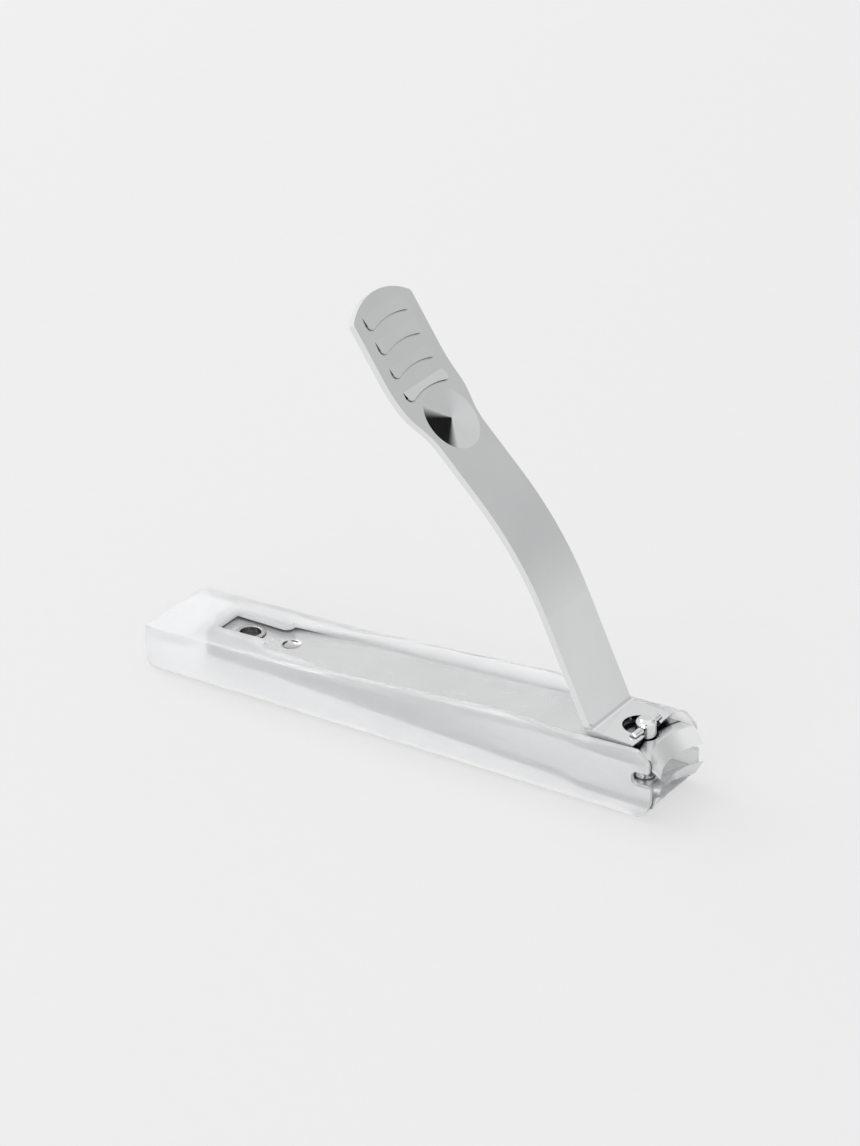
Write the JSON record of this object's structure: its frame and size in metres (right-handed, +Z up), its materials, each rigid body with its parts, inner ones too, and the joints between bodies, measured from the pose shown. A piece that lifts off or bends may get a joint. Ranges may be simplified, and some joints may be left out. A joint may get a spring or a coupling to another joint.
{
  "type": "nail clipper",
  "caption": "Lever nail clipper with sprung concave jaws, a swivelling thumb lever on a pivot post, and a slide-off translucent clippings case.",
  "frame": {"origin": "on the surface the case stands on, below the middle of the outline", "axes": "+X along the clipper, out of the jaws; +Y across the jaws; +Z up, towards the lever"},
  "size_m": [0.088, 0.015, 0.0661],
  "materials": {
    "jaw_steel": "satin strip with polished, ground jaws",
    "lever_chrome": "bright polished plating",
    "post_chrome": "polished plating",
    "fastener_steel": "nickel plated, lightly polished",
    "case_plastic": "milky translucent polypropylene, fine satin"
  },
  "bodies": {
    "lower_arm": {"lower_jaw": "jaw_steel"},
    "upper_arm": {"upper_jaw": "jaw_steel", "tail_eyelet": "fastener_steel", "tail_rivet": "fastener_steel"},
    "post": {"pivot_post": "post_chrome"},
    "pin": {"cross_pin": "post_chrome"},
    "lever": {"lever": "lever_chrome"},
    "case": {"catcher_case": "case_plastic"}
  },
  "joints": [
    {"name": "jaw_flex", "type": "hinge", "parent": "lower_arm", "child": "upper_arm", "pos_m": [-0.0246, 0, 0.0052], "axis": [0, 1, 0], "range_deg": [0, 2.35]},
    {"name": "post_swivel", "type": "hinge", "parent": "lower_arm", "child": "post", "pos_m": [0.038, 0, 0.0052], "axis": [0, 0, 1], "range_deg": [0, 180]},
    {"name": "lever_fold", "type": "hinge", "parent": "post", "child": "pin", "pos_m": [0.038, 0, 0.0108], "axis": [0, 1, 0], "range_deg": [0, 131]},
    {"name": "lever_press", "type": "hinge", "parent": "pin", "child": "lever", "pos_m": [0.038, 0, 0.0108], "axis": [0, -1, 0], "range_deg": [0, 30], "stiffness_Nm_per_rad": 0.05, "springref_deg": -1.72},
    {"name": "case_slide", "type": "slide", "parent": "lower_arm", "child": "case", "axis": [-1, 0, 0], "range_m": [0, 0.08]}
  ],
  "couplings": [
    {"joint": "jaw_flex", "follows": "lever_press", "ratio": 0.078},
    {"joint": "post_swivel", "follows": "lever_fold", "ratio": 1.374}
  ]
}
